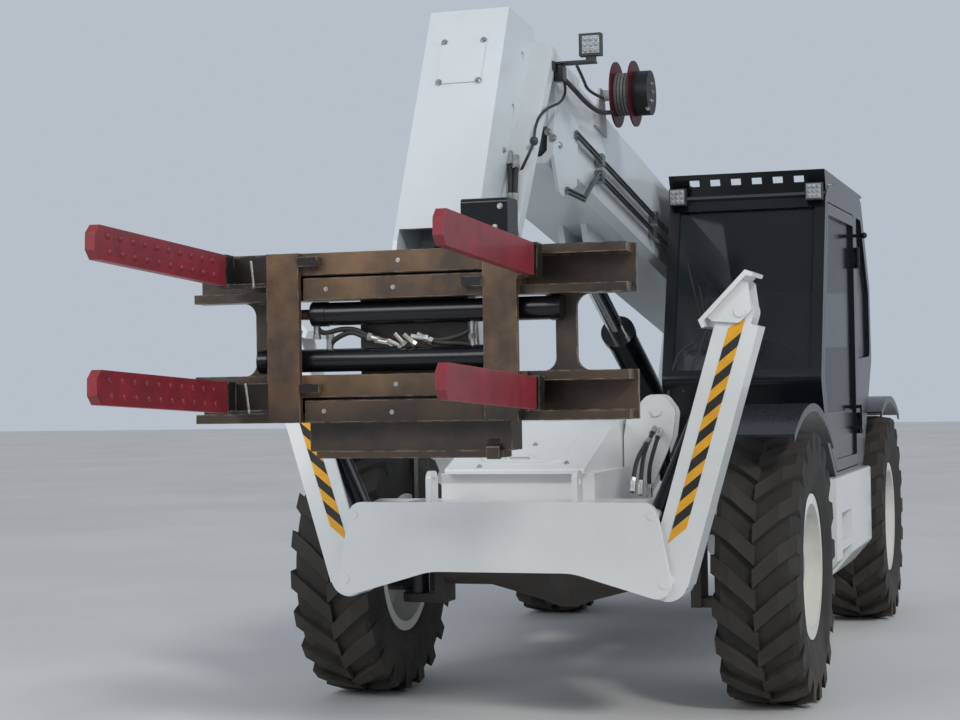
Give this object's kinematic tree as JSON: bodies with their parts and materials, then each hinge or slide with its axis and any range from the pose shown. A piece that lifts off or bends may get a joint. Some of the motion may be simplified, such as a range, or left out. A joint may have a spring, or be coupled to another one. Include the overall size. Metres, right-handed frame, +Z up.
{
  "type": "telehandler",
  "caption": "Telescopic handler with a cab beside a lifting boom, four steered wheels, folding stabilisers and a sliding-arm bale clamp.",
  "frame": {"origin": "on the ground, at the centre of the machine's footprint as stored, with the boom retracted", "axes": "+X forward along the boom, +Y to the machine's left (the cab side), +Z up"},
  "size_m": [7.9852, 2.39, 3.0589],
  "materials": {
    "boom_grey": "satin",
    "cab_black": "gloss",
    "cast": "matte",
    "chrome": "polished",
    "clamp_black": "gloss",
    "cylinder_black": "gloss",
    "dark_paint": "satin",
    "dark_plastic": "moulded",
    "glass": "clear",
    "lamp_black": "moulded",
    "lamp_red": "moulded",
    "pad_red": "satin",
    "pipe_steel": "satin",
    "reel": "satin",
    "rim_white": "gloss",
    "seat_cloth": "woven",
    "tyre": "matte",
    "white_paint": "gloss"
  },
  "bodies": {
    "chassis": {"frame": "white_paint", "tail": "white_paint", "side_box": "white_paint", "engine_cover": "white_paint", "engine": "cast", "front_plate": "white_paint", "front_beam": "white_paint", "hood": "white_paint", "tower": "white_paint", "sway_cylinder": "cylinder_black", "axle_front": "dark_paint", "axle_rear": "dark_paint", "cab_shell": "cab_black", "cab_glass": "glass", "visor": "cab_black", "cab_lamps": "lamp_black", "seat": "seat_cloth", "cab_fittings": "dark_plastic", "tail_lamps": "lamp_red"},
    "door": {"door": "cab_black", "door_glass": "glass"},
    "boom": {"boom": "boom_grey", "hose_reel": "reel", "boom_pipes": "pipe_steel"},
    "boom_extension": {"fly_boom": "boom_grey", "boom_head": "boom_grey", "boom_lamp": "lamp_black"},
    "lift_cylinder": {"lift_barrel": "cylinder_black"},
    "lift_piston": {"lift_rod": "chrome"},
    "tilt_cylinder": {"tilt_barrel": "cylinder_black"},
    "tilt_piston": {"tilt_rod": "chrome"},
    "attachment": {"clamp_frame": "clamp_black", "carriage": "clamp_black", "clamp_cylinders": "cylinder_black", "valve_block": "clamp_black"},
    "clamp_left": {"clamp_arms_left": "clamp_black", "clamp_pads_left": "pad_red"},
    "clamp_right": {"clamp_arms_right": "clamp_black", "clamp_pads_right": "pad_red"},
    "swivel_front_left": {"knuckle_front_left": "dark_paint"},
    "wheel_front_left": {"tyre_front_left": "tyre", "rim_front_left": "rim_white"},
    "swivel_front_right": {"knuckle_front_right": "dark_paint"},
    "wheel_front_right": {"tyre_front_right": "tyre", "rim_front_right": "rim_white"},
    "swivel_rear_left": {"knuckle_rear_left": "dark_paint"},
    "wheel_rear_left": {"tyre_rear_left": "tyre", "rim_rear_left": "rim_white"},
    "swivel_rear_right": {"knuckle_rear_right": "dark_paint"},
    "wheel_rear_right": {"tyre_rear_right": "tyre", "rim_rear_right": "rim_white"},
    "stabiliser_leg_left": {"stabiliser_leg_left": "white_paint"},
    "stabiliser_foot_left": {"stabiliser_foot_left": "white_paint"},
    "stabiliser_barrel_left": {"stabiliser_barrel_left": "cylinder_black"},
    "stabiliser_rod_left": {"stabiliser_rod_left": "chrome"},
    "stabiliser_leg_right": {"stabiliser_leg_right": "white_paint"},
    "stabiliser_foot_right": {"stabiliser_foot_right": "white_paint"},
    "stabiliser_barrel_right": {"stabiliser_barrel_right": "cylinder_black"},
    "stabiliser_rod_right": {"stabiliser_rod_right": "chrome"}
  },
  "joints": [
    {"name": "steer_front_left", "type": "hinge", "parent": "chassis", "child": "swivel_front_left", "pos_m": [0.59243, 0.78, 0.63386], "axis": [0, 0, 1], "range_deg": [-35, 35]},
    {"name": "spin_front_left", "type": "hinge", "parent": "swivel_front_left", "child": "wheel_front_left", "pos_m": [0.59243, 1, 0.63386], "axis": [0, 1, 0], "continuous": true},
    {"name": "steer_front_right", "type": "hinge", "parent": "chassis", "child": "swivel_front_right", "pos_m": [0.59243, -0.78, 0.63386], "axis": [0, 0, 1], "range_deg": [-35, 35]},
    {"name": "spin_front_right", "type": "hinge", "parent": "swivel_front_right", "child": "wheel_front_right", "pos_m": [0.59243, -1, 0.63386], "axis": [0, 1, 0], "continuous": true},
    {"name": "steer_rear_left", "type": "hinge", "parent": "chassis", "child": "swivel_rear_left", "pos_m": [-2.80757, 0.78, 0.63386], "axis": [0, 0, 1], "range_deg": [-35, 35]},
    {"name": "spin_rear_left", "type": "hinge", "parent": "swivel_rear_left", "child": "wheel_rear_left", "pos_m": [-2.80757, 1, 0.63386], "axis": [0, 1, 0], "continuous": true},
    {"name": "steer_rear_right", "type": "hinge", "parent": "chassis", "child": "swivel_rear_right", "pos_m": [-2.80757, -0.78, 0.63386], "axis": [0, 0, 1], "range_deg": [-35, 35]},
    {"name": "spin_rear_right", "type": "hinge", "parent": "swivel_rear_right", "child": "wheel_rear_right", "pos_m": [-2.80757, -1, 0.63386], "axis": [0, 1, 0], "continuous": true},
    {"name": "boom_lift", "type": "hinge", "parent": "chassis", "child": "boom", "pos_m": [-3.05757, 0, 1.95886], "axis": [0, -1, 0], "range_deg": [-9, 55]},
    {"name": "boom_extend", "type": "slide", "parent": "boom", "child": "boom_extension", "axis": [0.9871, 0, 0.1599], "range_m": [0, 2.5]},
    {"name": "lift_swing", "type": "hinge", "parent": "chassis", "child": "lift_cylinder", "pos_m": [-2.25757, 0, 0.96886], "axis": [0, -1, 0], "range_deg": [-10, 54]},
    {"name": "lift_stroke", "type": "slide", "parent": "lift_cylinder", "child": "lift_piston", "axis": [0.9109, 0, 0.4127], "range_m": [-0.22, 1.25]},
    {"name": "tilt", "type": "hinge", "parent": "boom_extension", "child": "attachment", "pos_m": [2.61243, 0, 1.44886], "axis": [0, 1, 0], "range_deg": [-15, 30]},
    {"name": "tilt_swing", "type": "hinge", "parent": "boom_extension", "child": "tilt_cylinder", "pos_m": [2.02243, 0, 2.51886], "axis": [0, 1, 0], "range_deg": [-9, 9]},
    {"name": "tilt_stroke", "type": "slide", "parent": "tilt_cylinder", "child": "tilt_piston", "axis": [0.5937, 0, -0.8047], "range_m": [-0.1, 0.2]},
    {"name": "clamp_slide_left", "type": "slide", "parent": "attachment", "child": "clamp_left", "axis": [0, -1, 0], "range_m": [-0.02, 0.32]},
    {"name": "clamp_slide_right", "type": "slide", "parent": "attachment", "child": "clamp_right", "axis": [0, 1, 0], "range_m": [-0.02, 0.39]},
    {"name": "stabiliser_left", "type": "hinge", "parent": "chassis", "child": "stabiliser_leg_left", "pos_m": [1.57758, 0.716, 0.66486], "axis": [-1, 0, 0], "range_deg": [0, 100]},
    {"name": "foot_left", "type": "hinge", "parent": "stabiliser_leg_left", "child": "stabiliser_foot_left", "pos_m": [1.57758, 1.04466, 1.78879], "axis": [-1, 0, 0], "range_deg": [0, 124]},
    {"name": "stabiliser_swing_left", "type": "hinge", "parent": "chassis", "child": "stabiliser_barrel_left", "pos_m": [1.57758, 0.665, 0.94386], "axis": [-1, 0, 0], "range_deg": [0, 104]},
    {"name": "stabiliser_stroke_left", "type": "slide", "parent": "stabiliser_barrel_left", "child": "stabiliser_rod_left", "axis": [0, 0.4107, 0.9118], "range_m": [0, 0.56]},
    {"name": "stabiliser_right", "type": "hinge", "parent": "chassis", "child": "stabiliser_leg_right", "pos_m": [1.57758, -0.716, 0.66486], "axis": [1, 0, 0], "range_deg": [0, 100]},
    {"name": "foot_right", "type": "hinge", "parent": "stabiliser_leg_right", "child": "stabiliser_foot_right", "pos_m": [1.57758, -1.04466, 1.78879], "axis": [1, 0, 0], "range_deg": [0, 124]},
    {"name": "stabiliser_swing_right", "type": "hinge", "parent": "chassis", "child": "stabiliser_barrel_right", "pos_m": [1.57758, -0.665, 0.94386], "axis": [1, 0, 0], "range_deg": [0, 104]},
    {"name": "stabiliser_stroke_right", "type": "slide", "parent": "stabiliser_barrel_right", "child": "stabiliser_rod_right", "axis": [0, -0.4107, 0.9118], "range_m": [0, 0.56]},
    {"name": "door_swing", "type": "hinge", "parent": "chassis", "child": "door", "pos_m": [-1.66457, 1.135, 1.69886], "axis": [0, 0, 1], "range_deg": [0, 80]}
  ],
  "couplings": [
    {"joint": "steer_front_right", "follows": "steer_front_left", "ratio": 1},
    {"joint": "steer_rear_right", "follows": "steer_rear_left", "ratio": 1},
    {"joint": "lift_swing", "follows": "boom_lift", "ratio": 0.956},
    {"joint": "lift_stroke", "follows": "boom_lift", "m_per_rad": 1.1675},
    {"joint": "tilt_swing", "follows": "tilt", "ratio": -0.144},
    {"joint": "tilt_stroke", "follows": "tilt", "m_per_rad": 0.17},
    {"joint": "stabiliser_swing_left", "follows": "stabiliser_left", "ratio": 1.035},
    {"joint": "stabiliser_stroke_left", "follows": "stabiliser_left", "m_per_rad": 0.254},
    {"joint": "stabiliser_swing_right", "follows": "stabiliser_right", "ratio": 1.035},
    {"joint": "stabiliser_stroke_right", "follows": "stabiliser_right", "m_per_rad": 0.254}
  ]
}
